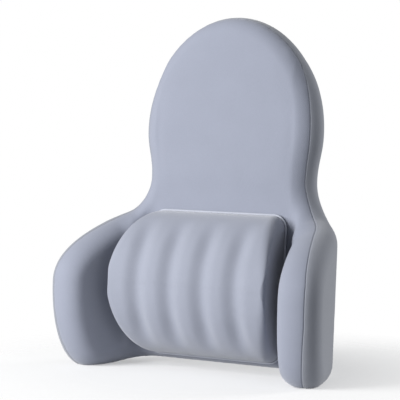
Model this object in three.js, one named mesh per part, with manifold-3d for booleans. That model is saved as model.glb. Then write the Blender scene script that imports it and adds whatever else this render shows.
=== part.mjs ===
// Lumbar support cushion for an office chair, in millimetres, +Z up, front towards -Y.
//
// A winged backrest of moulded foam in a two-part fabric cover, and a separate lumbar pad that
// sticks to its front with hook and loop strips. Behind it are the cover's zip and a chair strap
// with a side-release buckle.
//
// Everything is laid out upright around a flat middle plane y = 0, with x = 0 in the middle and
// z = 0 at the level of the feet, and the whole assembly is then leaned back and set on its feet.
import * as THREE from "three";
import { mergeVertices } from "three/addons/utils/BufferGeometryUtils.js";
import Module from "manifold-3d";

// ---------- driving dimensions ----------

// Backrest outline, measured flat, before its wings are bent forward. Widths are half widths.
const BACKREST_HEIGHT = 538;
const HEAD_HALF_WIDTH = 153.5;
const HEAD_WIDEST_Z = 366;
const WAIST_HALF_WIDTH = 144.5;
const WAIST_Z = 295.5;
const SHOULDER_HALF_WIDTH = 176.5;
const SHOULDER_Z = 239.5;
const SHOULDER_SLOPE_DEG = 24;
const WING_HALF_SPAN = 305;
const WING_TIP_Z = 130.5;
const FOOT_INSET = 62; // from the wing tip to the middle of the foot
const ARCH_HALF_WIDTH = 116;
const ARCH_RISE = 17.5;

// Backrest section and its bend.
const BACKREST_THICKNESS = 53;
const FLAT_INSET = 2; // the flat middle ends this far inside the pad's back panel
const WING_SWELL = 12.5; // how much thicker the wings are, all of it on their inner side
const SWELL_START = 18; // from the end of the flat middle to where the wings begin to thicken
const SWELL_RUN = 52; // and from there to their full thickness
const BEND_RADIUS = 75; // to the middle of the thickness
const BEND_DEG = 71;
const RECLINE_DEG = 4.1;
const FOOT_PRESS = 4; // how far the soft feet flatten on the seat

// The covers meet on the round rim, 0 at its crest and -90 at the front. From the head the seam
// turns back round the wings, and it comes forward again under the feet.
const SEAM_HEAD_DEG = -21.5;
const SEAM_WING_DEG = 10.5;
const SEAM_FOOT_DEG = -4;
const SEAM_HEAD_Z = 290; // the seam turns between these two levels
const SEAM_WING_Z = 150;
const SEAM_FOOT_Z = 90; // and from here down to the feet

// Cloth and clearances.
const COVER_WALL = 1.2;
const GAP = 0.3; // running gap between pieces that touch
const TAPE_WALL = 1; // hook, loop and zip tapes

// Lumbar pad, seen from the front on the backrest.
const PAD_HALF_WIDTH = 118;
const PAD_HEIGHT = 215.5;
const PAD_BOTTOM_Z = 27.5;
const PAD_CROWN = 87; // how far its front stands off its back panel
const PAD_FLARE = 27; // how far each end swells past the back panel
const PAD_CORNER_RADIUS = 20;
const PIPING_RADIUS = 1.3;

// Hook and loop strips.
const STRIP_WIDTH = 25;
const STRIP_X = 62;
const STRIP_RISE = 30.5; // from the pad's lower edge
const LOOP_SHARE = 0.78; // of the pad's height
const HOOK_SHARE = 0.465;

// Cover zip, across the low back.
const ZIP_Z = 84;
const ZIP_INSET = 18; // from the ends of the flat middle
const ZIP_TAPE_WIDTH = 11;
const CHAIN_WIDTH = 5.4;
const CHAIN_HEIGHT = 2;
const SLIDER_LENGTH = 11;
const PULL_LENGTH = 24;
const PULL_WIDTH = 8;

// Chair strap and its buckle, at waist level behind.
const STRAP_Z = 300;
const STRAP_WIDTH = 25;
const STRAP_WALL = 1.6;
const ANCHOR_INSET = 20; // from the end of the flat middle to the anchor's middle
const ANCHOR_LENGTH = 24;
const BUCKLE_X = -10; // the face where plug and socket meet
const BUCKLE_RAIL = 4; // past each edge of the strap
const BUCKLE_THICKNESS = 10;
const SOCKET_LENGTH = 34;
const PLUG_HEAD_LENGTH = 22;
const PLUG_PRONG_LENGTH = 24;
const ADJUSTER_X = 50;
const SHORT_TAIL = 18;
const LONG_TAIL = 62;

// ---------- small tools ----------

const wasm = await Module();
wasm.setup();

const rad = THREE.MathUtils.degToRad;
const mix = THREE.MathUtils.lerp;

// A closed geometry as a solid that can be joined and cut.
function solidOf(geometry) {
  const bare = geometry.clone();
  bare.deleteAttribute("normal");
  bare.deleteAttribute("uv");
  const merged = mergeVertices(bare, 1e-4);
  return new wasm.Manifold(
    new wasm.Mesh({
      numProp: 3,
      vertProperties: new Float32Array(merged.attributes.position.array),
      triVerts: new Uint32Array(merged.index.array),
    }),
  );
}

function geometryOf(solid) {
  const mesh = solid.getMesh();
  const geometry = new THREE.BufferGeometry();
  geometry.setAttribute("position", new THREE.BufferAttribute(mesh.vertProperties, mesh.numProp));
  geometry.setIndex(new THREE.BufferAttribute(mesh.triVerts, 1));
  return geometry;
}

const join = (first, ...rest) =>
  geometryOf(rest.reduce((sum, next) => sum.add(solidOf(next)), solidOf(first)));
const cut = (from, ...tools) =>
  geometryOf(tools.reduce((left, tool) => left.subtract(solidOf(tool)), solidOf(from)));

// A box from its lowest corner to its highest corner.
function boxBetween(low, high) {
  const size = high.map((value, i) => value - low[i]);
  const centre = high.map((value, i) => (value + low[i]) / 2);
  return new THREE.BoxGeometry(...size).translate(...centre);
}

// A flat shape drawn in x and z, standing from y = back - thickness to y = back.
function plate(shape, thickness, back, curveSegments = 4) {
  const geometry = new THREE.ExtrudeGeometry(shape, {
    depth: thickness,
    bevelEnabled: false,
    curveSegments,
  });
  return geometry.rotateX(Math.PI / 2).translate(0, back, 0);
}

function roundedRectangle(halfWidth, halfHeight, radius, x = 0, z = 0, Kind = THREE.Shape) {
  const shape = new Kind();
  shape.moveTo(x + halfWidth, z - halfHeight + radius);
  shape.absarc(x + halfWidth - radius, z + halfHeight - radius, radius, 0, Math.PI / 2);
  shape.absarc(x - halfWidth + radius, z + halfHeight - radius, radius, Math.PI / 2, Math.PI);
  shape.absarc(x - halfWidth + radius, z - halfHeight + radius, radius, Math.PI, 1.5 * Math.PI);
  shape.absarc(x + halfWidth - radius, z - halfHeight + radius, radius, 1.5 * Math.PI, 2 * Math.PI);
  shape.closePath();
  return shape;
}

// A closed solid through rings of equal length that starts and ends in a pole. Seen from the
// first pole the rings run anticlockwise. From ring foldAt on, a shell's rings run back along its
// inside, and their squares are split the other way, so that inside and outside stay parallel.
function loft(firstPole, rings, lastPole, foldAt = Infinity) {
  const count = rings[0].length;
  const points = [firstPole, ...rings.flat(), lastPole];
  const lastIndex = points.length - 1;
  const at = (ring, i) => 1 + ring * count + (i % count);
  const faces = [];
  for (let i = 0; i < count; i++) {
    faces.push(0, at(0, i), at(0, i + 1));
    faces.push(lastIndex, at(rings.length - 1, i + 1), at(rings.length - 1, i));
  }
  for (let ring = 0; ring + 1 < rings.length; ring++) {
    for (let i = 0; i < count; i++) {
      const [a, b, c, d] = [at(ring, i), at(ring + 1, i), at(ring + 1, i + 1), at(ring, i + 1)];
      faces.push(...(ring < foldAt ? [a, b, c, a, c, d] : [a, b, d, b, c, d]));
    }
  }
  const geometry = new THREE.BufferGeometry().setFromPoints(points);
  geometry.setIndex(faces);
  return geometry;
}

// ---------- the backrest's form ----------

const HALF_THICKNESS = BACKREST_THICKNESS / 2;
const FLAT_HALF_WIDTH = PAD_HALF_WIDTH - FLAT_INSET;
const RECLINE = rad(RECLINE_DEG);
const UP = new THREE.Vector3(0, -Math.sin(RECLINE), Math.cos(RECLINE)); // world up, seen upright

// The right half of the outline, from the top of the head to the middle of the underside. Each
// stretch has its end points, the lengths of its two handles and how many steps it is cut into.
function outlineStretches() {
  const slope = rad(SHOULDER_SLOPE_DEG);
  const right = new THREE.Vector2(1, 0);
  const left = new THREE.Vector2(-1, 0);
  const down = new THREE.Vector2(0, -1);
  const shoulderway = new THREE.Vector2(Math.cos(slope), -Math.sin(slope));
  const footX = WING_HALF_SPAN - FOOT_INSET;
  const headRise = BACKREST_HEIGHT - HEAD_WIDEST_Z;
  const neck = HEAD_WIDEST_Z - WAIST_Z;
  const stations = [
    { x: 0, z: BACKREST_HEIGHT, way: right },
    { x: HEAD_HALF_WIDTH, z: HEAD_WIDEST_Z, way: down },
    { x: WAIST_HALF_WIDTH, z: WAIST_Z, way: down },
    { x: SHOULDER_HALF_WIDTH, z: SHOULDER_Z, way: shoulderway },
    { x: WING_HALF_SPAN, z: WING_TIP_Z, way: down },
    { x: footX, z: 0, way: left },
    { x: ARCH_HALF_WIDTH, z: ARCH_RISE, way: left },
    { x: 0, z: ARCH_RISE, way: left },
  ];
  const handles = [
    [0.547 * HEAD_HALF_WIDTH, 0.547 * headRise, 7],
    [0.4 * neck, 0.4 * neck, 3],
    [0.5 * (WAIST_Z - SHOULDER_Z), 0.4 * (SHOULDER_HALF_WIDTH - WAIST_HALF_WIDTH), 4],
    [0.4 * (WING_HALF_SPAN - SHOULDER_HALF_WIDTH), 0.52 * (SHOULDER_Z - WING_TIP_Z), 5],
    [0.54 * WING_TIP_Z, 0.62 * FOOT_INSET, 6],
    [0.38 * (footX - ARCH_HALF_WIDTH), 0.41 * (footX - ARCH_HALF_WIDTH), 6],
    [0.33 * ARCH_HALF_WIDTH, 0.33 * ARCH_HALF_WIDTH, 2],
  ];
  return handles.map(([leave, arrive, steps], i) => {
    const from = new THREE.Vector2(stations[i].x, stations[i].z);
    const to = new THREE.Vector2(stations[i + 1].x, stations[i + 1].z);
    const leaving = from.clone().addScaledVector(stations[i].way, leave);
    const arriving = to.clone().addScaledVector(stations[i + 1].way, -arrive);
    return { curve: new THREE.CubicBezierCurve(from, leaving, arriving, to), steps };
  });
}

// The whole outline, anticlockwise seen from the front, each point with its inward direction.
function outlinePoints() {
  const half = [];
  for (const { curve, steps } of outlineStretches()) {
    for (let i = 0; i < steps; i++) {
      const point = curve.getPoint(i / steps);
      const way = curve.getTangent(i / steps);
      half.push({ point, inward: new THREE.Vector2(way.y, -way.x) });
    }
  }
  const mirror = new THREE.Vector2(-1, 1);
  const left = half.slice(1).map(({ point, inward }) => ({
    point: point.clone().multiply(mirror),
    inward: inward.clone().multiply(mirror),
  }));
  const bottom = {
    point: new THREE.Vector2(0, ARCH_RISE),
    inward: new THREE.Vector2(0, 1),
  };
  return [half[0], ...left, bottom, ...half.slice(1).reverse()];
}

// How many times deeper the inner side lies here than on the flat middle.
function swellAt(along, z) {
  const start = FLAT_HALF_WIDTH + SWELL_START;
  const out = THREE.MathUtils.smoothstep(along, start, start + SWELL_RUN);
  const low = 1 - THREE.MathUtils.smoothstep(z, SHOULDER_Z, WAIST_Z);
  return 1 + (WING_SWELL / HALF_THICKNESS) * out * low;
}

// Bends a flat place (x along the middle plane, z, level behind that plane) into space.
function bend(x, z, level) {
  const side = Math.sign(x);
  const along = Math.abs(x);
  const depth = level < 0 ? level * swellAt(along, z) : level;
  const most = rad(BEND_DEG);
  const turn = THREE.MathUtils.clamp((along - FLAT_HALF_WIDTH) / BEND_RADIUS, 0, most);
  const wing = Math.max(along - FLAT_HALF_WIDTH - BEND_RADIUS * most, 0);
  const flat = Math.min(along, FLAT_HALF_WIDTH);
  const out = flat + (BEND_RADIUS + depth) * Math.sin(turn) + wing * Math.cos(turn);
  const back = depth * Math.cos(turn) - BEND_RADIUS * (1 - Math.cos(turn)) - wing * Math.sin(turn);
  return new THREE.Vector3(side * out, back, z);
}

const OUTLINE = outlinePoints();
const HEART = new THREE.Vector2(0, 200); // the skins' rings close in on this place
const FACE_SHARES = [0.2, 0.4, 0.48, 0.56, 0.64, 0.72, 0.82, 0.93];

// One ring of a skin that lies sunk below the outside of the cushion. A face ring is a smaller
// copy of the outline on the front or back, and a rim ring runs round the rim at an angle.
function faceRing(share, side, sunk) {
  return OUTLINE.map(({ point, inward }) => {
    const edge = point.clone().addScaledVector(inward, HALF_THICKNESS);
    const place = HEART.clone().lerp(edge, share);
    return bend(place.x, place.y, side * (HALF_THICKNESS - sunk));
  });
}

function rimRing(angleAt, sunk) {
  const radius = HALF_THICKNESS - sunk;
  return OUTLINE.map(({ point, inward }) => {
    const angle = rad(angleAt(point.y));
    const place = point.clone().addScaledVector(inward, HALF_THICKNESS - radius * Math.cos(angle));
    return bend(place.x, place.y, radius * Math.sin(angle));
  });
}

const FRONT = -1;
const BACK = 1;
const faceRings = (side, sunk) => FACE_SHARES.map((share) => faceRing(share, side, sunk));
const facePole = (side, sunk) => bend(HEART.x, HEART.y, side * (HALF_THICKNESS - sunk));

// The seam's angle round the rim at a level of the flat outline.
function seamDeg(z) {
  const up = THREE.MathUtils.clamp((z - SEAM_WING_Z) / (SEAM_HEAD_Z - SEAM_WING_Z), 0, 1);
  const down = THREE.MathUtils.clamp((SEAM_FOOT_Z - z) / SEAM_FOOT_Z, 0, 1);
  return SEAM_WING_DEG + up * (SEAM_HEAD_DEG - SEAM_WING_DEG) + down * (SEAM_FOOT_DEG - SEAM_WING_DEG);
}

// Rim rings from a face out to a cover's edge at the seam, at shares of the way round.
const FRONT_RIM = [0, 0.41, 0.73];
const BACK_RIM = [0, 0.27, 0.54, 0.81];
const rimRings = (side, shares, sunk, gapDeg = 0) =>
  shares.map((share) => rimRing((z) => mix(side * 90, seamDeg(z) + side * gapDeg, share), sunk));
const SEAM_HALF_GAP_DEG = THREE.MathUtils.radToDeg(GAP / 2 / HALF_THICKNESS);

// The level, measured along UP, that the pressed feet stand at.
const crestRing = rimRing(() => 0, 0);
const FLOOR = Math.min(...crestRing.map((place) => place.dot(UP))) + FOOT_PRESS;

// Presses whatever hangs below a level up to it.
function pressFlat(ring, above) {
  for (const place of ring) {
    const lack = FLOOR + above - place.dot(UP);
    if (lack > 0) place.addScaledVector(UP, lack);
  }
  return ring;
}

// A cover: its outside from the pole of its face out to the seam, then its inside back again.
function coverGeometry(side, shares) {
  const rim = (sunk) => rimRings(side, [...shares, 1], sunk, SEAM_HALF_GAP_DEG);
  const outside = [...faceRings(side, 0), ...rim(0)];
  const inside = [...faceRings(side, COVER_WALL), ...rim(COVER_WALL)];
  outside.forEach((ring) => pressFlat(ring, 0));
  inside.forEach((ring) => pressFlat(ring, COVER_WALL));
  const rings = [...outside, ...inside.reverse()];
  const geometry = loft(facePole(side, 0), rings, facePole(side, COVER_WALL), outside.length);
  return side === FRONT ? geometry : turnedInsideOut(geometry);
}

function turnedInsideOut(geometry) {
  const index = geometry.index.array;
  for (let i = 0; i < index.length; i += 3) [index[i + 1], index[i + 2]] = [index[i + 2], index[i + 1]];
  return geometry;
}

function frontCover() {
  return coverGeometry(FRONT, FRONT_RIM);
}

function rearCover() {
  return coverGeometry(BACK, BACK_RIM);
}

function foamCore() {
  const sunk = COVER_WALL + GAP;
  const ahead = [...faceRings(FRONT, sunk), ...rimRings(FRONT, FRONT_RIM, sunk)];
  const behind = [...faceRings(BACK, sunk), ...rimRings(BACK, BACK_RIM, sunk)];
  const rings = [...ahead, rimRing(seamDeg, sunk), ...behind.reverse()];
  rings.forEach((ring) => pressFlat(ring, sunk));
  return loft(facePole(FRONT, sunk), rings, facePole(BACK, sunk), ahead.length);
}

// ---------- the lumbar pad ----------

// Layers from the front of the backrest forwards: loop tape, hook tape, back panel, pad.
const FRONT_FACE = -HALF_THICKNESS;
const LOOP_BACK = FRONT_FACE - GAP;
const HOOK_BACK = LOOP_BACK - TAPE_WALL - GAP;
const PANEL_BACK = HOOK_BACK - TAPE_WALL - GAP;
const PAD_BACK = PANEL_BACK - COVER_WALL - GAP;
const PAD_HALF_HEIGHT = PAD_HEIGHT / 2;
const PAD_MIDDLE_Z = PAD_BOTTOM_Z + PAD_HALF_HEIGHT;
const PAD_LEVELS_DEG = [0, 12, 26, 42, 58, 72, 82];
const CORNER_STEPS = 5;

// A ring of the pad at an angle from its base, 0, to its crown, 90, sunk below its outside.
function padRing(levelDeg, sunk) {
  const level = rad(levelDeg);
  const swell = Math.sin(2 * level);
  const halfWidth = PAD_HALF_WIDTH + PAD_FLARE * swell - sunk;
  const halfHeight = (PAD_HALF_HEIGHT - sunk) * Math.cos(level);
  const corner = Math.min(PAD_CORNER_RADIUS * (1 + swell) - sunk, 0.95 * halfHeight);
  const y = PAD_BACK - (PAD_CROWN - sunk) * Math.sin(level);
  const ring = [];
  const corners = [
    [1, 1, 0],
    [-1, 1, 90],
    [-1, -1, 180],
    [1, -1, 270],
  ];
  for (const [signX, signZ, start] of corners) {
    for (let i = 0; i <= CORNER_STEPS; i++) {
      const angle = rad(start + (90 * i) / CORNER_STEPS);
      const x = signX * (halfWidth - corner) + corner * Math.cos(angle);
      const z = signZ * (halfHeight - corner) + corner * Math.sin(angle);
      ring.push(new THREE.Vector3(x, y, PAD_MIDDLE_Z + z));
    }
  }
  return ring;
}

const padRings = (sunk) => PAD_LEVELS_DEG.map((level) => padRing(level, sunk)).reverse();
const padCrown = (sunk) => new THREE.Vector3(0, PAD_BACK - (PAD_CROWN - sunk), PAD_MIDDLE_Z);
const padMiddle = (y) => new THREE.Vector3(0, y, PAD_MIDDLE_Z);

function padFrontCover() {
  const outside = padRings(0);
  const rings = [...outside, ...padRings(COVER_WALL).reverse()];
  return loft(padCrown(0), rings, padCrown(COVER_WALL), outside.length);
}

function padFoam() {
  const sunk = COVER_WALL + GAP;
  return loft(padCrown(sunk), padRings(sunk), padMiddle(PAD_BACK));
}

const padOutline = (grow) =>
  roundedRectangle(
    PAD_HALF_WIDTH + grow,
    PAD_HALF_HEIGHT + grow,
    PAD_CORNER_RADIUS + grow,
    0,
    PAD_MIDDLE_Z,
  );

function padBackPanel() {
  return plate(padOutline(0), COVER_WALL, PANEL_BACK, CORNER_STEPS);
}

// A round cord in the seam between the pad's front cover and its back panel.
function padPiping() {
  const reach = PIPING_RADIUS + GAP;
  const path = padOutline(reach).getPoints(CORNER_STEPS).slice(0, -1);
  const y = PANEL_BACK - COVER_WALL / 2;
  const sides = 6;
  const rings = path.map((point, i) => {
    const before = path[(i + path.length - 1) % path.length];
    const after = path[(i + 1) % path.length];
    const out = new THREE.Vector2(after.y - before.y, before.x - after.x).normalize();
    return Array.from({ length: sides }, (_, k) => {
      const angle = (k / sides) * 2 * Math.PI;
      const reachOut = PIPING_RADIUS * Math.cos(angle);
      return new THREE.Vector3(
        point.x + out.x * reachOut,
        y + PIPING_RADIUS * Math.sin(angle),
        point.y + out.y * reachOut,
      );
    });
  });
  return closedTube(rings);
}

// A tube through rings of points that ends where it began.
function closedTube(rings) {
  const sides = rings[0].length;
  const at = (ring, k) => (ring % rings.length) * sides + (k % sides);
  const faces = [];
  for (let ring = 0; ring < rings.length; ring++) {
    for (let k = 0; k < sides; k++) {
      faces.push(at(ring, k), at(ring + 1, k + 1), at(ring + 1, k));
      faces.push(at(ring, k), at(ring, k + 1), at(ring + 1, k + 1));
    }
  }
  const geometry = new THREE.BufferGeometry().setFromPoints(rings.flat());
  geometry.setIndex(faces);
  return geometry;
}

function strip(side, shareOfPad, back) {
  const length = shareOfPad * PAD_HEIGHT;
  const middleZ = PAD_BOTTOM_Z + STRIP_RISE + length / 2;
  const corner = 3;
  const shape = roundedRectangle(STRIP_WIDTH / 2, length / 2, corner, side * STRIP_X, middleZ);
  return plate(shape, TAPE_WALL, back, 2);
}

// ---------- the zip ----------

const REAR_FACE = HALF_THICKNESS;
const ZIP_HALF_LENGTH = FLAT_HALF_WIDTH - ZIP_INSET;
const CHAIN_BACK = REAR_FACE + GAP + CHAIN_HEIGHT;

function zipTape(side) {
  const near = CHAIN_WIDTH / 2 + GAP;
  const inner = ZIP_Z + side * near;
  const outer = inner + side * ZIP_TAPE_WIDTH;
  const reach = ZIP_HALF_LENGTH + SLIDER_LENGTH / 2;
  const low = [-reach, REAR_FACE + GAP, Math.min(inner, outer)];
  const high = [reach, REAR_FACE + GAP + TAPE_WALL, Math.max(inner, outer)];
  return boxBetween(low, high);
}

// The closed chain: a low bar with sloping sides, as wide as the teeth that mesh along it.
function zipChain() {
  const half = CHAIN_WIDTH / 2;
  const foot = REAR_FACE + GAP;
  const profile = [
    [foot, -half],
    [foot + CHAIN_HEIGHT / 2, -half],
    [CHAIN_BACK, -half + 1],
    [CHAIN_BACK, half - 1],
    [foot + CHAIN_HEIGHT / 2, half],
    [foot, half],
  ];
  const shape = new THREE.Shape(profile.map(([y, z]) => new THREE.Vector2(y, ZIP_Z + z)));
  const bar = new THREE.ExtrudeGeometry(shape, { depth: 2 * ZIP_HALF_LENGTH, bevelEnabled: false });
  // extruded along z, then turned so that the length runs along x
  const turn = new THREE.Matrix4().set(0, 0, 1, -ZIP_HALF_LENGTH, 1, 0, 0, 0, 0, 1, 0, 0, 0, 0, 0, 1);
  return bar.applyMatrix4(turn);
}

function zipStop(side) {
  const length = 3;
  const near = side * (ZIP_HALF_LENGTH + GAP);
  const far = near + side * length;
  const half = CHAIN_WIDTH / 2;
  return boxBetween(
    [Math.min(near, far), REAR_FACE + GAP, ZIP_Z - half],
    [Math.max(near, far), CHAIN_BACK, ZIP_Z + half],
  );
}

// The slider's plate rides over the chain; two ears on it hold the pull's pin.
const SLIDER_X = ZIP_HALF_LENGTH - SLIDER_LENGTH / 2 - GAP;
const SLIDER_FRONT = CHAIN_BACK + GAP;
const SLIDER_PLATE = 1.6;
const EAR_THICKNESS = 1.2;
const EAR_RADIUS = 2.4;
const PIN_RADIUS = 1;
const PIN_CLEARANCE = 0.3;
const PIN_Y = SLIDER_FRONT + SLIDER_PLATE + EAR_RADIUS - 0.2;
const EAR_INNER = 2.2; // half the room between the ears

function zipSlider() {
  const halfHeight = CHAIN_WIDTH / 2 + 2.4;
  const shape = roundedRectangle(SLIDER_LENGTH / 2, halfHeight, 2.2, SLIDER_X, ZIP_Z);
  const body = plate(shape, SLIDER_PLATE, SLIDER_FRONT + SLIDER_PLATE, 3);
  const cheek = (side) => {
    const near = ZIP_Z + side * (CHAIN_WIDTH / 2 + GAP);
    const far = ZIP_Z + side * halfHeight;
    const foot = REAR_FACE + GAP + TAPE_WALL + GAP;
    const top = SLIDER_FRONT + SLIDER_PLATE / 2;
    const reach = SLIDER_LENGTH / 2 - 2.5;
    return boxBetween(
      [SLIDER_X - reach, foot, Math.min(near, far)],
      [SLIDER_X + reach, top, Math.max(near, far)],
    );
  };
  return join(body, cheek(-1), cheek(1), ear(-1), ear(1));
}

// An ear stands on the slider's plate and is bored for the pin, which lies along z.
function ear(side) {
  const shape = new THREE.Shape();
  const foot = SLIDER_FRONT + SLIDER_PLATE / 2;
  shape.moveTo(SLIDER_X - EAR_RADIUS, foot);
  shape.lineTo(SLIDER_X + EAR_RADIUS, foot);
  shape.absarc(SLIDER_X, PIN_Y, EAR_RADIUS, 0, Math.PI);
  shape.closePath();
  const bore = new THREE.Path();
  bore.absarc(SLIDER_X, PIN_Y, PIN_RADIUS + PIN_CLEARANCE, 0, 2 * Math.PI, true);
  shape.holes.push(bore);
  const near = side > 0 ? EAR_INNER : -EAR_INNER - EAR_THICKNESS;
  return new THREE.ExtrudeGeometry(shape, {
    depth: EAR_THICKNESS,
    bevelEnabled: false,
    curveSegments: 8,
  }).translate(0, 0, ZIP_Z + near);
}

// The pull lies flat along the closed zip: a pin through both ears and a tab on it.
function zipPull() {
  const pinReach = EAR_INNER + EAR_THICKNESS;
  const pin = new THREE.CylinderGeometry(PIN_RADIUS, PIN_RADIUS, 2 * pinReach, 10)
    .rotateX(Math.PI / 2)
    .translate(SLIDER_X, PIN_Y, ZIP_Z);
  const neckHalf = EAR_INNER - GAP;
  const tabEnd = SLIDER_X - PULL_LENGTH;
  const neckEnd = SLIDER_X - EAR_RADIUS - 2;
  const neck = boxBetween(
    [neckEnd - 2, PIN_Y - 0.7, ZIP_Z - neckHalf],
    [SLIDER_X + 0.5, PIN_Y + 0.7, ZIP_Z + neckHalf],
  );
  const half = PULL_WIDTH / 2;
  const length = neckEnd - tabEnd;
  const tabShape = roundedRectangle(length / 2, half, 2.5, (neckEnd + tabEnd) / 2, ZIP_Z);
  const holeX = tabEnd + 5;
  tabShape.holes.push(roundedRectangle(2.2, 1.5, 1.4, holeX, ZIP_Z, THREE.Path));
  const tab = plate(tabShape, 1.4, PIN_Y + 0.7, 3);
  return join(pin, neck, tab);
}

// ---------- the chair strap ----------

const ANCHOR_X = FLAT_HALF_WIDTH - ANCHOR_INSET;
const ANCHOR_BACK = REAR_FACE + GAP + TAPE_WALL;
const STRAP_FRONT = ANCHOR_BACK + GAP;
const STRAP_BACK = STRAP_FRONT + STRAP_WALL;
const BAR_WIDTH = 3.4; // the bars that webbing turns round
const BAR_THICKNESS = 2;
const TURN_CLEARANCE = 0.6;
const TURN_INNER = BAR_WIDTH / 2 + TURN_CLEARANCE;
const TURN_OUTER = TURN_INNER + STRAP_WALL;
const STRAP_MIDDLE = STRAP_FRONT + TURN_OUTER; // between the run and the tail
const SLOT_WIDTH = TURN_OUTER - BAR_WIDTH / 2 + 2 * GAP;
const SLOT_HALF = STRAP_WIDTH / 2 + 0.8;
const FRAME_HALF = STRAP_WIDTH / 2 + BUCKLE_RAIL;
const CAVITY_WALL = 2;

function anchorPatch(side) {
  const height = STRAP_WIDTH + 12;
  const shape = roundedRectangle(ANCHOR_LENGTH / 2, height / 2, 3, side * ANCHOR_X, STRAP_Z);
  return plate(shape, TAPE_WALL, ANCHOR_BACK, 2);
}

// Webbing that runs from its anchor to a bar, turns round it and ends in a tail that lies over
// the run. side is -1 on the left, where the run goes towards +x.
function strapGeometry(side, barX, tail) {
  const flip = -side;
  const sewnEnd = -(ANCHOR_X + ANCHOR_LENGTH / 2 - 3);
  const bar = flip * barX;
  const tailEnd = bar - tail;
  const profile = [
    [sewnEnd, STRAP_FRONT],
    ...arcPoints(bar, TURN_OUTER, -90, 90),
    [tailEnd, STRAP_MIDDLE + TURN_OUTER],
    [tailEnd, STRAP_MIDDLE + TURN_INNER],
    ...arcPoints(bar, TURN_INNER, 90, -90),
    [sewnEnd, STRAP_BACK],
  ];
  const shape = new THREE.Shape(profile.map(([x, y]) => new THREE.Vector2(flip * x, y)));
  const webbing = new THREE.ExtrudeGeometry(shape, { depth: STRAP_WIDTH, bevelEnabled: false });
  return webbing.translate(0, 0, STRAP_Z - STRAP_WIDTH / 2);
}

function arcPoints(x, radius, fromDeg, toDeg) {
  const steps = 6;
  return Array.from({ length: steps + 1 }, (_, i) => {
    const angle = rad(mix(fromDeg, toDeg, i / steps));
    return [x + radius * Math.cos(angle), STRAP_MIDDLE + radius * Math.sin(angle)];
  });
}

// A thin frame with one slot beside the bar at its outer end. outward is the way to that end.
function webbingFrame(barX, bodyX, outward) {
  const endX = barX + (outward * BAR_WIDTH) / 2;
  const middle = (endX + bodyX) / 2;
  const shape = roundedRectangle(Math.abs(endX - bodyX) / 2, FRAME_HALF, 1.6, middle, STRAP_Z);
  const slotX = barX - (outward * (BAR_WIDTH + SLOT_WIDTH)) / 2;
  const slot = roundedRectangle(SLOT_WIDTH / 2, SLOT_HALF, 0.8, slotX, STRAP_Z, THREE.Path);
  shape.holes.push(slot);
  return plate(shape, BAR_THICKNESS, STRAP_MIDDLE + BAR_THICKNESS / 2, 2);
}

function buckleBody(fromX, toX) {
  const middle = (fromX + toX) / 2;
  const shape = roundedRectangle((toX - fromX) / 2, FRAME_HALF, 2.5, middle, STRAP_Z);
  return plate(shape, BUCKLE_THICKNESS, STRAP_MIDDLE + BUCKLE_THICKNESS / 2, 3);
}

const SOCKET_END = BUCKLE_X - SOCKET_LENGTH;
const SOCKET_BAR_X = SOCKET_END + BAR_WIDTH / 2;
const PLUG_END = BUCKLE_X + GAP + PLUG_HEAD_LENGTH;
const PLUG_BAR_X = PLUG_END - BAR_WIDTH / 2;
const CAVITY_HALF = FRAME_HALF - CAVITY_WALL;
const CAVITY_THICKNESS = BUCKLE_THICKNESS - 2 * CAVITY_WALL;

// The socket is hollow from its mouth inwards, with a window in each side for the plug's latches.
function buckleSocket() {
  const bodyStart = SOCKET_END + BAR_WIDTH + SLOT_WIDTH;
  const frame = webbingFrame(SOCKET_BAR_X, bodyStart + 2, -1);
  const body = buckleBody(bodyStart, BUCKLE_X);
  const cavity = boxBetween(
    [BUCKLE_X - PLUG_PRONG_LENGTH - 1, STRAP_MIDDLE - CAVITY_THICKNESS / 2, STRAP_Z - CAVITY_HALF],
    [BUCKLE_X + 1, STRAP_MIDDLE + CAVITY_THICKNESS / 2, STRAP_Z + CAVITY_HALF],
  );
  const window = boxBetween(
    [BUCKLE_X - PLUG_PRONG_LENGTH + 2, STRAP_MIDDLE - CAVITY_THICKNESS / 2, STRAP_Z - FRAME_HALF - 1],
    [BUCKLE_X - 8, STRAP_MIDDLE + CAVITY_THICKNESS / 2, STRAP_Z + FRAME_HALF + 1],
  );
  return cut(join(frame, body), cavity, window);
}

// The plug has two latch prongs with a hooked head each and a guide between them.
function bucklePlug() {
  const face = BUCKLE_X + GAP;
  const bodyEnd = PLUG_END - BAR_WIDTH - SLOT_WIDTH;
  const frame = webbingFrame(PLUG_BAR_X, bodyEnd - 2, 1);
  const body = buckleBody(face, bodyEnd);
  const thickness = CAVITY_THICKNESS - 2 * GAP;
  const tip = BUCKLE_X - PLUG_PRONG_LENGTH;
  const reach = CAVITY_HALF - GAP;
  const armOuter = reach - 1.8;
  const armInner = armOuter - 3;
  const prong = (side) => {
    const outline = [
      [face + 1, armInner],
      [tip + 1.5, armInner],
      [tip, armInner + 2],
      [tip + 3, reach],
      [tip + 7, reach],
      [tip + 8, armOuter],
      [face + 1, armOuter],
    ];
    const shape = new THREE.Shape(outline.map(([x, z]) => new THREE.Vector2(x, STRAP_Z + side * z)));
    return plate(shape, thickness, STRAP_MIDDLE + thickness / 2);
  };
  const guideHalf = 2.5;
  const guide = boxBetween(
    [tip + 8, STRAP_MIDDLE - thickness / 2, STRAP_Z - guideHalf],
    [face + 1, STRAP_MIDDLE + thickness / 2, STRAP_Z + guideHalf],
  );
  return join(body, frame, prong(-1), prong(1), guide);
}

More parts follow.
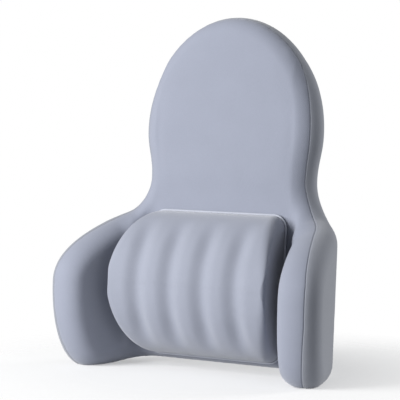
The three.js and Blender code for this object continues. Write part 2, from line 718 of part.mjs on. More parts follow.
// A ladder-shaped slide: the run passes under its middle bar and the tail over it.
function strapAdjuster() {
  const length = 9;
  const rail = 2.6;
  const half = SLOT_HALF + rail;
  const inner = TURN_INNER - GAP;
  const outer = TURN_OUTER + GAP;
  const skin = 1;
  const block = boxBetween(
    [ADJUSTER_X, STRAP_MIDDLE - outer - skin, STRAP_Z - half],
    [ADJUSTER_X + length, STRAP_MIDDLE + outer + skin, STRAP_Z + half],
  );
  const slot = (side) => {
    const near = STRAP_MIDDLE + side * inner;
    const far = STRAP_MIDDLE + side * outer;
    return boxBetween(
      [ADJUSTER_X - 1, Math.min(near, far), STRAP_Z - SLOT_HALF],
      [ADJUSTER_X + length + 1, Math.max(near, far), STRAP_Z + SLOT_HALF],
    );
  };
  return cut(block, slot(-1), slot(1));
}

// ---------- materials and assembly ----------

const finish = (color, roughness) => new THREE.MeshStandardMaterial({ color, roughness, metalness: 0 });
const METAL = { roughness: 0.35, metalness: 1 };

const assembly = new THREE.Group();
assembly.name = "lumbar_support_cushion";

function add(name, geometry, material) {
  const mesh = new THREE.Mesh(geometry, material);
  mesh.name = name;
  assembly.add(mesh);
}

add("backrest_foam_core", foamCore(), finish(0xe8dfc8, 0.95));
add("front_cover", frontCover(), finish(0xaab0c2, 0.85));
add("rear_cover", rearCover(), finish(0xa4a9b8, 0.9));

add("pad_foam", padFoam(), finish(0xe8dfc8, 0.95));
add("pad_front_cover", padFrontCover(), finish(0xaeb5c6, 0.85));
add("pad_back_panel", padBackPanel(), finish(0x8d93a3, 0.9));
add("pad_piping", padPiping(), finish(0xbcc2d0, 0.8));

for (const [side, word] of [
  [-1, "left"],
  [1, "right"],
]) {
  add("loop_strip_" + word, strip(side, LOOP_SHARE, LOOP_BACK), finish(0x7c8294, 1));
  add("pad_hook_strip_" + word, strip(side, HOOK_SHARE, HOOK_BACK), finish(0x6d7384, 0.7));
  add("strap_anchor_" + word, anchorPatch(side), finish(0x858b9b, 0.9));
  add("zip_stop_" + word, zipStop(side), finish(0x8a8f9c, 0.5));
}

add("zip_tape_lower", zipTape(-1), finish(0x8a90a0, 0.9));
add("zip_tape_upper", zipTape(1), finish(0x8a90a0, 0.9));
add("zip_chain", zipChain(), finish(0x767c8c, 0.5));
add("zip_slider", zipSlider(), new THREE.MeshStandardMaterial({ color: 0x8c9098, ...METAL }));
add("zip_pull", zipPull(), new THREE.MeshStandardMaterial({ color: 0x8c9098, ...METAL }));

add("strap_left", strapGeometry(-1, SOCKET_BAR_X, SHORT_TAIL), finish(0x6c7282, 0.9));
add("strap_right", strapGeometry(1, PLUG_BAR_X, LONG_TAIL), finish(0x6c7282, 0.9));
add("buckle_socket", buckleSocket(), finish(0x5e6472, 0.45));
add("buckle_plug", bucklePlug(), finish(0x5e6472, 0.45));
add("strap_adjuster", strapAdjuster(), finish(0x5e6472, 0.45));

// Lean it back, set its feet on z = 0 and centre its depth on y = 0.
assembly.rotation.x = -RECLINE;
assembly.position.z = -FLOOR;
const cushion = new THREE.Group();
cushion.add(assembly);
cushion.updateMatrixWorld(true);
const reach = new THREE.Box3().setFromObject(cushion, true);
assembly.position.y = -(reach.min.y + reach.max.y) / 2;

export default cushion;
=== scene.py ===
import math

import bmesh
import bpy
from mathutils import Matrix, Vector
from mathutils.geometry import interpolate_bezier
from mathutils.kdtree import KDTree


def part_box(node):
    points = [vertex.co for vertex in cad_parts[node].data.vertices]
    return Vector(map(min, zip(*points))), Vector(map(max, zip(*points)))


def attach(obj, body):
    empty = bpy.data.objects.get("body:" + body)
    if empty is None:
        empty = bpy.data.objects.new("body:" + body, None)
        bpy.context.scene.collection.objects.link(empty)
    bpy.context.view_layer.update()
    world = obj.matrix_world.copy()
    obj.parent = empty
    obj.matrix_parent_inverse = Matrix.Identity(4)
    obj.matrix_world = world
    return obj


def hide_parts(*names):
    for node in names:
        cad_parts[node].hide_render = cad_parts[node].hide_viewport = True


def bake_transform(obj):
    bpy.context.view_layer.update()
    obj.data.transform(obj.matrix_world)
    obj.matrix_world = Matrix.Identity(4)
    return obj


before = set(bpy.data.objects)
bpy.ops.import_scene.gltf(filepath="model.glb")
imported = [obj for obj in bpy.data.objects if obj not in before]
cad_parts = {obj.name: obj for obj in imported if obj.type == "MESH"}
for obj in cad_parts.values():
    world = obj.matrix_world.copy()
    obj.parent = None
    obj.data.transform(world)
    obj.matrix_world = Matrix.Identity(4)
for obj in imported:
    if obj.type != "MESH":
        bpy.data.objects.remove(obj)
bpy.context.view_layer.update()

# ---------- the studio ----------
# A pale floor that fades out in a pale room. A broad soft light stands in front on the left, and
# weaker ones at the right side and behind it. The camera looks slightly down from the right.
scene = bpy.context.scene
scene.view_settings.view_transform = "Standard"


def keep(name, form, smooth=True):
    """Makes a bmesh a finished object, at the origin, in the scene."""
    mesh = bpy.data.meshes.new(name)
    form.to_mesh(mesh)
    form.free()
    for face in mesh.polygons:
        face.use_smooth = smooth
    made = bpy.data.objects.new(name, mesh)
    scene.collection.objects.link(made)
    return made


class Wire:
    """A socket of a shader. Arithmetic on it adds Math nodes to the same shader."""

    def __init__(self, tree, socket=None):
        self.tree = tree
        self.socket = socket

    def node(self, kind, settings=None, inputs=None, output=0):
        """Adds a node of that kind, sets and feeds it, and gives one of its outputs."""
        made = self.tree.nodes.new(kind)
        for name, value in (settings or {}).items():
            setattr(made, name, value)
        for key, value in (inputs or {}).items():
            if isinstance(value, Wire):
                self.tree.links.new(value.socket, made.inputs[key])
            else:
                made.inputs[key].default_value = value
        return Wire(self.tree, made.outputs[output] if made.outputs else None)

    def maths(self, operation, *values):
        """A Math node on these values."""
        return self.node("ShaderNodeMath", {"operation": operation}, dict(enumerate(values)))

    def __add__(self, other):
        return self.maths("ADD", self, other)

    def __sub__(self, other):
        return self.maths("SUBTRACT", self, other)

    def __rsub__(self, other):
        return self.maths("SUBTRACT", other, self)

    def __mul__(self, other):
        return self.maths("MULTIPLY", self, other)

    __radd__ = __add__
    __rmul__ = __mul__

    def wave(self, pitch):
        """From -1 to 1 and back, once in each pitch."""
        return self.maths("SINE", self * (2 * math.pi / pitch))

    def ramp(self, low, high):
        """0 below low, 1 above high, and straight between them."""
        span = {"Value": self, "From Min": low, "From Max": high}
        return self.node("ShaderNodeMapRange", {"clamp": True}, span)

    def blend(self, first, second):
        """The first colour where this is 0 and the second where it is 1."""
        settings = {"data_type": "RGBA", "clamp_factor": True}
        return self.node("ShaderNodeMix", settings, {0: self, 6: first, 7: second}, 2)


def new_shader(name):
    """An empty material, and a Wire that starts nodes in it."""
    material = bpy.data.materials.new(name)
    material.use_nodes = True
    material.node_tree.nodes.clear()
    return material, Wire(material.node_tree)


def dress(start, colour, roughness, height=None, depth=0.0003, strength=1.0, **constants):
    """Ends a material in a Principled shader, with a bump from height where it has one."""
    inputs = {"Base Color": colour, "Roughness": roughness}
    for word, value in constants.items():
        inputs[word.replace("_", " ")] = value
    if height is not None:
        bump = {"Height": height, "Distance": depth, "Strength": strength}
        inputs["Normal"] = start.node("ShaderNodeBump", {}, bump)
    surface = start.node("ShaderNodeBsdfPrincipled", {}, inputs)
    start.node("ShaderNodeOutputMaterial", {}, {"Surface": surface})


floor_radius, floor_drop = 1.3, 0.0004
fade_start, fade_end, floor_cover = 0.2, 0.5, 0.6
ground = bmesh.new()
bmesh.ops.create_circle(ground, cap_ends=True, segments=64, radius=floor_radius)
bmesh.ops.translate(ground, verts=ground.verts, vec=(0, 0, -floor_drop))
studio_floor = keep("studio_floor", ground, smooth=False)
pale, start = new_shader("studio_floor")
place = start.node("ShaderNodeTexCoord", {}, {}, "Object")
away = start.node("ShaderNodeVectorMath", {"operation": "LENGTH"}, {0: place}, "Value")
cover = floor_cover * (1 - away.ramp(fade_start, fade_end))
dress(start, (0.97, 0.97, 0.97, 1), 0.9, Alpha=cover)
studio_floor.data.materials.append(pale)

room = bpy.data.worlds.new("pale_room")
room.use_nodes = True
room.node_tree.nodes.clear()
air = Wire(room.node_tree)
seen = air.node("ShaderNodeBackground", {}, {"Color": (1, 1, 1, 1), "Strength": 1.0})
lit = air.node("ShaderNodeBackground", {}, {"Color": (0.93, 0.96, 1, 1), "Strength": 0.28})
straight = air.node("ShaderNodeLightPath", {}, {}, "Is Camera Ray")
both = air.node("ShaderNodeMixShader", {}, {0: straight, 1: lit, 2: seen})
air.node("ShaderNodeOutputWorld", {}, {"Surface": both})
scene.world = room


def soft_light(name, azimuth, elevation, distance, size, power):
    """A square light at that bearing from the front, aimed at the middle of the cushion."""
    lamp = bpy.data.lights.new(name, "AREA")
    lamp.size = size
    lamp.energy = power
    made = bpy.data.objects.new(name, lamp)
    scene.collection.objects.link(made)
    turn, rise = math.radians(azimuth), math.radians(elevation)
    level = math.cos(rise)
    way = Vector((math.sin(turn) * level, -math.cos(turn) * level, math.sin(rise)))
    made.location = Vector((0, 0, 0.26)) + way * distance
    made.rotation_euler = way.to_track_quat("Z", "Y").to_euler()


soft_light("key_light", -32, 16, 2.6, 1.5, 114)
soft_light("rim_light", 142, 8, 2.4, 0.9, 34)
soft_light("fill_light", 74, 10, 2.8, 1.2, 7)

lens = bpy.data.cameras.new("camera")
lens.sensor_width = 36
lens.lens = 177.9
lens.clip_end = 60
camera = bpy.data.objects.new("camera", lens)
camera.location = (1.6588, -2.4134, 0.4503)
camera.rotation_euler = (math.radians(90 - 3.8), 0, math.radians(34.8))
scene.collection.objects.link(camera)
scene.camera = camera

# ---------- the backrest cushion ----------
# One moulded foam body with wings, in a cover of brushed knit: a front panel and a greyer rear
# panel that are sewn together in a sunk seam round the rim. It leans back and stands on two feet.
recline = math.radians(4.1)
lean = Matrix.Rotation(-recline, 4, "X")
anchor_low, anchor_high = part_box("strap_anchor_left")
anchor_middle = Vector((-0.096, 0.0273, 0.300))  # the same place while the cushion is upright
upright = Matrix.Translation((anchor_low + anchor_high) / 2 - lean @ anchor_middle) @ lean

half_thickness = 0.0265
flat_half_width, bend_radius, bend_angle = 0.116, 0.075, math.radians(71)
wing_swell, swell_start, swell_full = 0.4717, 0.134, 0.186  # its share, and from where to where
waist_level, shoulder_level = 0.2955, 0.2395
heart = Vector((0, 0.200))  # the rings of both faces close in on this place


def outline_half():
    """The flat outline from the top of the head down the right side to under the middle."""
    slope = math.radians(24)
    right, left, down = Vector((1, 0)), Vector((-1, 0)), Vector((0, -1))
    stations = [
        (Vector((0, 0.538)), right),
        (Vector((0.1535, 0.366)), down),
        (Vector((0.1445, 0.2955)), down),
        (Vector((0.1765, 0.2395)), Vector((math.cos(slope), -math.sin(slope)))),
        (Vector((0.305, 0.1305)), down),
        (Vector((0.243, 0)), left),
        (Vector((0.116, 0.0175)), left),
        (Vector((0, 0.0175)), left),
    ]
    handles = [
        (0.0840, 0.0941, 50),
        (0.0282, 0.0282, 14),
        (0.0280, 0.0128, 13),
        (0.0514, 0.0567, 34),
        (0.0705, 0.0384, 30),
        (0.0483, 0.0521, 26),
        (0.0383, 0.0383, 23),
    ]
    places = []
    for (at, way), (to, arriving), (leave, arrive, steps) in zip(stations, stations[1:], handles):
        curve = interpolate_bezier(at, at + way * leave, to - arriving * arrive, to, steps + 1)
        places += [Vector(place[:2]) for place in curve[:-1]]
    return places + [stations[-1][0]]


right_half = outline_half()
left_half = [Vector((-place.x, place.y)) for place in right_half[-2:0:-1]]
rim_line = right_half + left_half  # clockwise, seen from the front
inward_line = []
for before, after in zip(rim_line[-1:] + rim_line[:-1], rim_line[1:] + rim_line[:1]):
    along = (after - before).normalized()
    inward_line.append(Vector((along.y, -along.x)))


def smooth_step(low, high, value):
    """0 below low, 1 above high, and an even rise between them."""
    share = min(max((value - low) / (high - low), 0), 1)
    return share * share * (3 - 2 * share)


def bent(x, z, depth):
    """A place of the flat cushion after its wings are bent forward. Depth is towards the rear,
    and the wings' inner side is moulded thicker than the flat middle."""
    along = abs(x)
    if depth < 0:
        below_waist = 1 - smooth_step(shoulder_level, waist_level, z)
        depth *= 1 + wing_swell * smooth_step(swell_start, swell_full, along) * below_waist
    turn = min(max((along - flat_half_width) / bend_radius, 0), bend_angle)
    wing = max(along - flat_half_width - bend_radius * bend_angle, 0)
    sine, cosine = math.sin(turn), math.cos(turn)
    out = min(along, flat_half_width) + (bend_radius + depth) * sine + wing * cosine
    back = depth * cosine - bend_radius * (1 - cosine) - wing * sine
    return Vector((math.copysign(out, x), back, z))


def seam_angle(z):
    """Where the seam lies round the rim, in degrees behind its crest: in front of it on the head,
    behind it on a wing, and nearly on it at the feet."""
    on_head, on_wing, at_foot = -21.5, 10.5, -4.0
    head_level, wing_top, wing_foot = 0.290, 0.150, 0.090
    up = min(max((z - wing_top) / (head_level - wing_top), 0), 1)
    down = min(max((wing_foot - z) / wing_foot, 0), 1)
    return on_wing + (on_head - on_wing) * up + (at_foot - on_wing) * down


def seam_dip(off):
    """How deep the seam pulls the rim in, at so many degrees from it: a thread and its pull."""
    return 0.0008 * math.exp(-((off / 1.4) ** 2)) + 0.0004 * math.exp(-((off / 8) ** 2))


def face_ring(side, share):
    """A ring of the front or rear face, and where it lies in the cut cloth."""
    ring = []
    for place, inward in zip(rim_line, inward_line):
        spot = heart.lerp(place + inward * half_thickness, share)
        ring.append((bent(spot.x, spot.y, side * half_thickness), (spot.x, spot.y, 0)))
    return ring


def rim_ring(side, share):
    """A ring round the rim, from a face at share 0 to the seam at share 1."""
    ring = []
    for i, (place, inward) in enumerate(zip(rim_line, inward_line)):
        seam = seam_angle(place.y)
        angle = side * 90 + (seam - side * 90) * share
        turn, wrapped = math.radians(angle), abs(math.radians(angle - side * 90))
        near_seam = math.exp(-(((angle - seam) / 11) ** 2))
        pucker = 0.0003 * math.sin(i * 1.9) * math.sin(i * 0.37) * near_seam
        reach = half_thickness - seam_dip(angle - seam) + pucker
        spot = place + inward * (half_thickness - reach * math.cos(turn))
        flat = place + inward * (half_thickness - half_thickness * wrapped)
        ring.append((bent(spot.x, spot.y, reach * math.sin(turn)), (flat.x, flat.y, 0)))
    return ring


def loft(rings, to_material=None):
    """A closed skin through rings of equal length, whose first and last rings may be points."""
    across, down = len(rings[0]), len(rings)
    form = bmesh.new()
    cloth = form.verts.layers.float_vector.new("cloth")
    bmesh.ops.create_grid(form, x_segments=across, y_segments=down - 1, size=1)
    form.verts.ensure_lookup_table()
    for row, ring in enumerate(rings):
        for column in range(across + 1):
            vertex = form.verts[row * (across + 1) + column]
            vertex.co, vertex[cloth] = ring[column % across]
    if to_material is not None:
        for face in form.faces:
            face.material_index = to_material(min(v.index // (across + 1) for v in face.verts))
    bmesh.ops.remove_doubles(form, verts=form.verts, dist=1e-6)
    bmesh.ops.recalc_face_normals(form, faces=form.faces)
    return form


face_shares = [0, 0.05, 0.1] + [0.15 + 0.035 * step for step in range(24)]
rim_shares = [0, 0.1, 0.2, 0.3, 0.4, 0.5, 0.6, 0.69, 0.77, 0.84, 0.89]
rim_shares += [0.925, 0.95, 0.965, 0.978, 0.99]
front, rear = -1, 1
rings = [face_ring(front, share) for share in face_shares]
rings += [rim_ring(front, share) for share in rim_shares + [1]]
seam_row = len(rings) - 1
rings += [rim_ring(rear, share) for share in reversed(rim_shares)]
rings += [face_ring(rear, share) for share in reversed(face_shares)]
skin = loft(rings, lambda row: int(row >= seam_row))
backrest = keep("backrest_cushion", skin)


def plump(piece, held, voxel, pressure, most):
    """Fills the piece like a stuffed cover: an even copy of it swells as cloth, held where held()
    says so, and the piece takes its swelling, up to the most that a point may move."""
    soft = bpy.data.objects.new("soft", piece.data.copy())
    scene.collection.objects.link(soft)
    even = soft.modifiers.new("even", "REMESH")
    even.mode = "VOXEL"
    even.voxel_size = voxel
    bpy.context.view_layer.update()
    graph = bpy.context.evaluated_depsgraph_get()
    soft.data = bpy.data.meshes.new_from_object(soft.evaluated_get(graph))
    soft.modifiers.clear()
    rest = [vertex.co.copy() for vertex in soft.data.vertices]
    group = soft.vertex_groups.new(name="held")
    for i, place in enumerate(rest):
        hold = held(place)
        if hold > 0:
            group.add([i], hold, "REPLACE")
    cloth = soft.modifiers.new("cloth", "CLOTH")
    cloth.settings.quality = 4
    cloth.settings.mass = 0.3
    cloth.settings.tension_stiffness = 18
    cloth.settings.compression_stiffness = 18
    cloth.settings.shear_stiffness = 6
    cloth.settings.bending_stiffness = 0.8
    cloth.settings.use_pressure = True
    cloth.settings.uniform_pressure_force = pressure
    cloth.settings.vertex_group_mass = "held"
    cloth.settings.effector_weights.gravity = 0
    cloth.collision_settings.use_collision = False
    cloth.collision_settings.use_self_collision = False
    for moment in range(1, 21):
        scene.frame_set(moment)
    blown = soft.evaluated_get(bpy.context.evaluated_depsgraph_get()).data
    moves = [vertex.co - place for vertex, place in zip(blown.vertices, rest)]
    near = KDTree(len(rest))
    for i, place in enumerate(rest):
        near.insert(place, i)
    near.balance()
    for vertex in piece.data.vertices:
        found = near.find_n(vertex.co, 8)
        weights = [1 / (distance + voxel / 4) for _, _, distance in found]
        move = sum((moves[i] * w for (_, i, _), w in zip(found, weights)), Vector()) / sum(weights)
        if move.length > most:
            move = move.normalized() * most
        vertex.co += move
    scene.frame_set(1)
    bpy.data.objects.remove(soft)


def backrest_held(place):
    """The cover can't swell behind the pad, nor under the zip and the strap, and its foam holds it
    a little everywhere."""
    x = abs(place.x)
    if place.y < 0:
        behind_pad = (1 - smooth_step(0.240, 0.300, place.z)) * (1 - smooth_step(0.122, 0.150, x))
        return max(behind_pad, 0.15)
    rear = (1 - smooth_step(0.330, 0.380, place.z)) * (1 - smooth_step(0.112, 0.140, x))
    return max(rear, 0.15)


plump(backrest, backrest_held, 0.007, 3, 0.0015)
backrest.data.transform(upright)
for vertex in backrest.data.vertices:
    vertex.co.z = max(vertex.co.z, 0)  # the soft feet stand flat


def knit(name, light, dark, sheen=0.35):
    """A brushed knit: fine loops in the cloth's own directions, under a soft uneven nap."""
    material, start = new_shader(name)
    cloth = start.node("ShaderNodeAttribute", {"attribute_name": "cloth"}, {}, "Vector")
    across, up = (start.node("ShaderNodeSeparateXYZ", {}, {0: cloth}, i) for i in (0, 1))
    loops = across.wave(0.0016) * up.wave(0.0013)
    place = start.node("ShaderNodeTexCoord", {}, {}, "Object")
    nap = start.node("ShaderNodeTexNoise", {}, {"Vector": place, "Scale": 900.0, "Detail": 2.0})
    patches = start.node("ShaderNodeTexNoise", {}, {"Vector": place, "Scale": 22.0, "Detail": 3.0})
    tone = (loops * 0.12 + nap * 0.5 + patches * 0.45).ramp(0.2, 0.75)
    height = loops * 0.35 + nap * 0.9
    rough = patches * 0.12 + 0.78
    sheens = {"Sheen_Weight": sheen, "Sheen_Roughness": 0.45}
    dress(start, tone.blend(dark, light), rough, height, 0.00025, 0.45, **sheens)
    return material


front_knit = knit("front_knit", (0.262, 0.280, 0.345, 1), (0.226, 0.243, 0.302, 1))
rear_knit = knit("rear_knit", (0.250, 0.262, 0.300, 1), (0.215, 0.228, 0.266, 1))
for material in (front_knit, rear_knit):
    backrest.data.materials.append(material)
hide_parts("front_cover", "rear_cover", "backrest_foam_core")
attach(backrest, "backrest")

# ---------- the lumbar pad ----------
# A half-round foam block in a quilted knit cover with five upright ribs. The cover is sewn to a
# flat back panel, and a thin piping cord lies in that seam all the way round.
pad_half_width, pad_half_height, pad_middle = 0.118, 0.10775, 0.13525
pad_front, pad_crown, pad_flare, pad_corner, end_round = -0.0309, 0.087, 0.024, 0.020, 0.008
panel_back, seam_line = -0.0294, -0.0301
rib_pitch, rib_depth = 0.058, 0.0072


def rib_dip(x):
    """How far the quilting is drawn in beside a rib. The outer ribs run on into the ends."""
    if abs(x) > 2 * rib_pitch:
        return 0
    return rib_depth * (0.5 - 0.5 * math.cos(2 * math.pi * x / rib_pitch)) ** 1.6


def ring_plan():
    """Where each place of a pad ring lies: its corner, or its share along a side."""
    plan = []
    for corner, count in enumerate((92, 50, 92, 50)):
        plan += [("corner", corner, step / 10) for step in range(10)]
        plan += [("side", corner, step / count) for step in range(count)]
    return plan


def pad_ring(level, y=None, grow=0.0):
    """A ring of the pad at an angle from its base, 0, to its crown, 90 degrees. The ends flare
    out on the way up and roll over into the crown."""
    turn = math.radians(level)
    over = max(pad_crown * math.sin(turn) - pad_crown + end_round, 0)
    rolled = end_round - math.sqrt(end_round**2 - over**2)
    half_width = pad_half_width + pad_flare * math.sin(turn) ** 1.2 - rolled + grow
    half_height = pad_half_height * math.cos(turn) + grow
    corner = min(pad_corner - 0.004 * math.sin(turn), 0.4 * max(half_height, 0))
    depth = pad_front - pad_crown * math.sin(turn) if y is None else y
    inner = (half_width - corner, half_height - corner)
    signs = ((1, 1), (-1, 1), (-1, -1), (1, -1))
    ring = []
    for kind, which, share in ring_plan():
        start_angle = math.pi / 2 * which
        angle = start_angle + math.pi / 2 * (share if kind == "corner" else 1)
        centre = [signs[which][i] * inner[i] for i in (0, 1)]
        if kind == "side":
            following = signs[(which + 1) % 4]
            centre = [centre[i] + (following[i] * inner[i] - centre[i]) * share for i in (0, 1)]
        x = centre[0] + corner * math.cos(angle)
        z = centre[1] + corner * math.sin(angle)
        drawn = rib_dip(x) * smooth_step(22, 58, level) if y is None else 0
        outward = Vector((0, -math.sin(turn) / pad_crown, math.cos(turn) / pad_half_height))
        outward.z *= 1 if z >= 0 else -1
        place = Vector((x, depth, pad_middle + z)) - outward.normalized() * drawn
        ring.append((place, (x, turn * 0.1 * (1 if z >= 0 else -1), 0)))
    return ring


levels = [0, 1.5, 4, 7, 10, 13, 16, 19.5, 23, 26.5, 30, 33.5, 37, 40.5, 44, 47.5, 51, 54.5, 58]
levels += [61.5, 65, 68.5, 72, 75.5, 79, 82.5, 86, 88, 90]
rings = [[(Vector((0, panel_back, pad_middle)), (0, 0, 0))] * len(ring_plan())]
rings += [pad_ring(0, panel_back, grow) for grow in (-0.06, -0.02, -0.0014)]
rings += [pad_ring(0, -0.0298, -0.0006), pad_ring(0, -0.0303, -0.0012)]
rings += [pad_ring(level) for level in levels]
pad = keep("lumbar_pad_cushion", loft(rings))


def pad_held(place):
    """The quilting lines and the base seam hold the pad's cover in."""
    if place.y > pad_front - 0.008:
        return 1
    off = abs((place.x + rib_pitch / 2) % rib_pitch - rib_pitch / 2)
    line = smooth_step(rib_pitch / 2 - 0.005, rib_pitch / 2 - 0.001, off)
    return max(0.15, 0.9 * line if abs(place.x) < 0.1 else 0)


plump(pad, pad_held, 0.005, 3, 0.0025)
pad.data.transform(upright)
pad_knit = knit("pad_knit", (0.272, 0.289, 0.350, 1), (0.236, 0.252, 0.308, 1), 0.4)
pad.data.materials.append(pad_knit)
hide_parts("pad_front_cover", "pad_foam", "pad_back_panel")
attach(pad, "lumbar_pad")


def tube(name, places, radius):
    """A closed round cord through these places, as a mesh."""
    curve = bpy.data.curves.new(name, "CURVE")
    curve.dimensions = "3D"
    curve.bevel_depth = radius
    curve.bevel_resolution = 5
    line = curve.splines.new("POLY")
    line.points.add(len(places) - 1)
    for point, place in zip(line.points, places):
        point.co = (*place, 1)
    line.use_cyclic_u = True
    drawn = bpy.data.objects.new(name, curve)
    scene.collection.objects.link(drawn)
    bpy.context.view_layer.update()
    mesh = bpy.data.meshes.new_from_object(drawn)
    bpy.data.objects.remove(drawn)
    for face in mesh.polygons:
        face.use_smooth = True
    made = bpy.data.objects.new(name, mesh)
    scene.collection.objects.link(made)
    return made


piping_path = [place for place, _ in pad_ring(0, seam_line, 0.0010)][::2]
piping = tube("pad_piping_cord", piping_path, 0.0015)
piping.data.transform(upright)
material, start = new_shader("piping_knit")
place = start.node("ShaderNodeTexCoord", {}, {}, "Object")
x, z = (start.node("ShaderNodeSeparateXYZ", {}, {0: place}, i) for i in (0, 2))
twist = (x + z).wave(0.0022)
grain = start.node("ShaderNodeTexNoise", {}, {"Vector": place, "Scale": 700.0})
tone = (twist * 0.2 + grain).ramp(0.2, 0.9)
colour = tone.blend((0.36, 0.38, 0.44, 1), (0.46, 0.48, 0.55, 1))
dress(start, colour, 0.75, twist * 0.6 + grain, 0.0002, 0.6, Sheen_Weight=0.4)
piping.data.materials.append(material)
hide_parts("pad_piping")
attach(piping, "lumbar_pad")

# ---------- the hook and loop strips ----------
# Two loop strips sewn up the front of the backrest and two shorter hook strips on the pad's back
# hold the pad at any height. They are woven tapes with a soft pile on one and hooks on the other.
strip_x, strip_half_width, strip_foot = 0.062, 0.0125, 0.058
loop_top, hook_top = 0.226, 0.158


def patch(name, low, high, corner):
    """A flat piece of tape between two upright corners, with round corners and soft edges."""
    form = bmesh.new()
    bmesh.ops.create_cube(form, size=1)
    middle, size = (Vector(low) + Vector(high)) / 2, Vector(high) - Vector(low)
    bmesh.ops.scale(form, verts=form.verts, vec=size)
    bmesh.ops.translate(form, verts=form.verts, vec=middle)
    through = [e for e in form.edges if abs((e.verts[0].co - e.verts[1].co).y) > 1e-6]
    bevel = {"affect": "EDGES", "profile": 0.5, "material": -1}
    bmesh.ops.bevel(form, geom=through, offset=corner, segments=5, **bevel)
    rims = [e for e in form.edges if e.calc_face_angle(0) > 1.2]
    bmesh.ops.bevel(form, geom=rims, offset=0.0003, segments=2, **bevel)
    form.transform(upright)
    made = keep(name, form)
    made.data.set_sharp_from_angle(angle=math.radians(50))
    return made


def pile(name, light, dark, scale, depth):
    """A field of tiny hooks or loops on a woven tape."""
    material, start = new_shader(name)
    place = start.node("ShaderNodeTexCoord", {}, {}, "Object")
    settings = {"feature": "F1"}
    dots = start.node("ShaderNodeTexVoronoi", settings, {"Vector": place, "Scale": scale})
    fluff = start.node("ShaderNodeTexNoise", {}, {"Vector": place, "Scale": scale / 2})
    tone = (dots * 0.8 + fluff * 0.5).ramp(0.2, 0.9)
    colour = tone.blend(light, dark)
    dress(start, colour, 0.9, 1 - dots + fluff * 0.5, depth, 0.8, Sheen_Weight=0.3)
    return material


loop_pile = pile("loop_pile", (0.20, 0.215, 0.26, 1), (0.11, 0.12, 0.15, 1), 900.0, 0.0005)
hook_pile = pile("hook_pile", (0.17, 0.18, 0.22, 1), (0.08, 0.09, 0.11, 1), 650.0, 0.0006)
for side, word in ((-1, "left"), (1, "right")):
    low_x, high_x = side * strip_x - strip_half_width, side * strip_x + strip_half_width
    low, high = (low_x, -0.0278, strip_foot), (high_x, -0.0268, loop_top)
    loops = patch(f"loop_tape_{word}", low, high, 0.003)
    loops.data.materials.append(loop_pile)
    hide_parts(f"loop_strip_{word}")
    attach(loops, "backrest")
    low, high = (low_x, -0.0291, strip_foot), (high_x, -0.0281, hook_top)
    hooks = patch(f"hook_tape_{word}", low, high, 0.003)
    hooks.data.materials.append(hook_pile)
    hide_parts(f"pad_hook_strip_{word}")
    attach(hooks, "lumbar_pad")

# ---------- the cover zip ----------
# A closed coil zip across the low back lets the cover off the foam. Two woven tapes are
# topstitched to the rear panel, the teeth mesh between them and a metal slider carries the pull.
zip_level, chain_back, tape_back = 0.084, 0.0288, 0.0278
band_half_length, chain_half_length, tooth_pitch = 0.1035, 0.098, 0.0016


def weave(name, light, dark, ribs, rows, depth=0.0003, sheen=0.2, slant=0.0):
    """A flat woven tape that runs along x, with ribs across it and fine rows along it."""
    material, start = new_shader(name)
    place = start.node("ShaderNodeTexCoord", {}, {}, "Object")
    x, z = (start.node("ShaderNodeSeparateXYZ", {}, {0: place}, i) for i in (0, 2))
    fold = z.wave(rows * 6)
    rib = (x + fold.maths("ABSOLUTE", fold) * slant).wave(ribs)
    row = z.wave(rows)
    grain = start.node("ShaderNodeTexNoise", {}, {"Vector": place, "Scale": 800.0})
    height = rib * row * 0.5 + rib * 0.3 + grain * 0.5
    tone = (height * 0.5 + 0.5).ramp(0.1, 1.1)
    rough = grain * 0.2 + 0.65
    dress(start, tone.blend(dark, light), rough, height, depth, 0.7, Sheen_Weight=sheen)
    return material


def stitches(name, lines, lift, thread=0.00045, length=0.0032, gap=0.0016):
    """Rows of thread on the rear, each row from one (x, z) place to another."""
    form = bmesh.new()
    for (x0, z0), (x1, z1) in lines:
        way = Vector((x1 - x0, 0, z1 - z0))
        count = max(1, round(way.length / (length + gap)))
        turn = Matrix.Rotation(-math.atan2(way.z, way.x), 4, "Y")
        for i in range(count):
            at = Vector((x0, lift, z0)) + way * ((i + 0.5) / count)
            size = Matrix.Diagonal((length / 2, thread * 0.8, thread, 1))
            place = Matrix.Translation(at) @ turn @ size
            bmesh.ops.create_uvsphere(form, u_segments=6, v_segments=4, radius=1, matrix=place)
    form.transform(upright)
    return keep(name, form)


thread_finish, start = new_shader("sewing_thread")
place = start.node("ShaderNodeTexCoord", {}, {}, "Object")
ply = start.node("ShaderNodeTexNoise", {}, {"Vector": place, "Scale": 2500.0})
colour = ply.blend((0.17, 0.18, 0.22, 1), (0.27, 0.285, 0.33, 1))
dress(start, colour, 0.6, ply, 0.0001, 0.5, Sheen_Weight=0.3)

light, dark = (0.20, 0.212, 0.25, 1), (0.12, 0.128, 0.155, 1)
zip_weave = weave("zip_tape_weave", light, dark, 0.0011, 0.0009)
for word, low_z, high_z in (("lower", 0.0700, 0.0810), ("upper", 0.0870, 0.0980)):
    low, high = (-band_half_length, 0.0268, low_z), (band_half_length, tape_back, high_z)
    tape = patch(f"zip_band_{word}", low, high, 0.0008)
    tape.data.materials.append(zip_weave)
    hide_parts(f"zip_tape_{word}")
    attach(tape, "backrest")

rows = [((-0.101, z), (0.101, z)) for z in (0.0722, 0.0958)]
zip_thread = stitches("zip_topstitching", rows, tape_back + 0.0001)
zip_thread.data.materials.append(thread_finish)
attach(zip_thread, "backrest")


